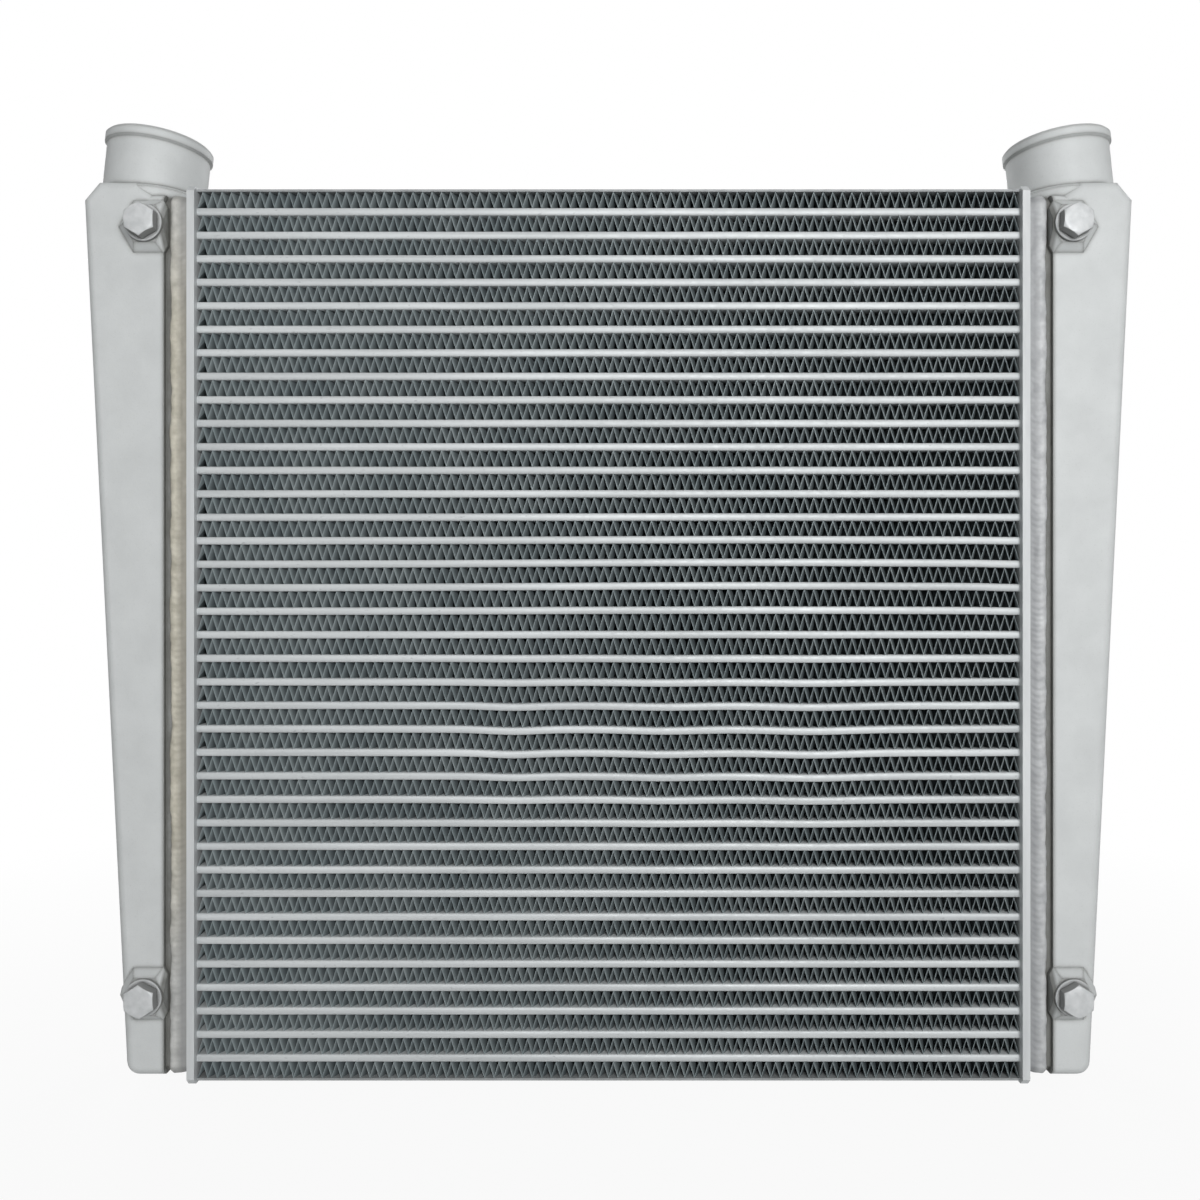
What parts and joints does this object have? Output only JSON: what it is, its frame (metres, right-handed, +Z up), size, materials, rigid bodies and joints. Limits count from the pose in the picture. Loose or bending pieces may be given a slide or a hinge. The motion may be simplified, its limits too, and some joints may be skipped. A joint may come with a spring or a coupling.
{
  "type": "charge-air intercooler",
  "caption": "Air-to-air intercooler: brazed core of flat tubes and corrugated fins between two tapered cast end tanks with hose necks on top and bolted mounting bosses.",
  "frame": {"origin": "under the middle of the whole part, at the level of the header plates' feet", "axes": "+Z up towards the hose necks, +X from the left tank to the right tank, the bolted front faces -Y"},
  "size_m": [0.6902, 0.0904, 0.6337],
  "materials": {
    "tube_aluminium": "brazed satin",
    "fin_foil": "dull foil, dark between the tubes",
    "plate_aluminium": "rolled, satin",
    "cast_aluminium": "fine sand-cast, bead blasted",
    "weld_metal": "rippled weld bead",
    "zinc_steel": "bright zinc plated"
  },
  "bodies": {
    "root": {"tube_01": "tube_aluminium", "tube_02": "tube_aluminium", "tube_03": "tube_aluminium", "tube_04": "tube_aluminium", "tube_05": "tube_aluminium", "tube_06": "tube_aluminium", "tube_07": "tube_aluminium", "tube_08": "tube_aluminium", "tube_09": "tube_aluminium", "tube_10": "tube_aluminium", "tube_11": "tube_aluminium", "tube_12": "tube_aluminium", "tube_13": "tube_aluminium", "tube_14": "tube_aluminium", "tube_15": "tube_aluminium", "tube_16": "tube_aluminium", "tube_17": "tube_aluminium", "tube_18": "tube_aluminium", "tube_19": "tube_aluminium", "tube_20": "tube_aluminium", "tube_21": "tube_aluminium", "tube_22": "tube_aluminium", "tube_23": "tube_aluminium", "tube_24": "tube_aluminium", "tube_25": "tube_aluminium", "tube_26": "tube_aluminium", "tube_27": "tube_aluminium", "tube_28": "tube_aluminium", "tube_29": "tube_aluminium", "tube_30": "tube_aluminium", "tube_31": "tube_aluminium", "tube_32": "tube_aluminium", "tube_33": "tube_aluminium", "tube_34": "tube_aluminium", "tube_35": "tube_aluminium", "tube_36": "tube_aluminium", "tube_37": "tube_aluminium", "fin_bank_1": "fin_foil", "fin_bank_2": "fin_foil", "fin_bank_3": "fin_foil", "fin_bank_4": "fin_foil", "fin_bank_5": "fin_foil", "fin_bank_6": "fin_foil", "fin_bank_7": "fin_foil", "fin_bank_8": "fin_foil", "side_sheet_top": "plate_aluminium", "side_sheet_bottom": "plate_aluminium", "header_left": "plate_aluminium", "header_right": "plate_aluminium", "tank_left": "cast_aluminium", "tank_right": "cast_aluminium", "tank_weld_left": "weld_metal", "tank_weld_right": "weld_metal", "mounting_bolts": "zinc_steel", "bolt_washers": "zinc_steel"}
  },
  "joints": []
}
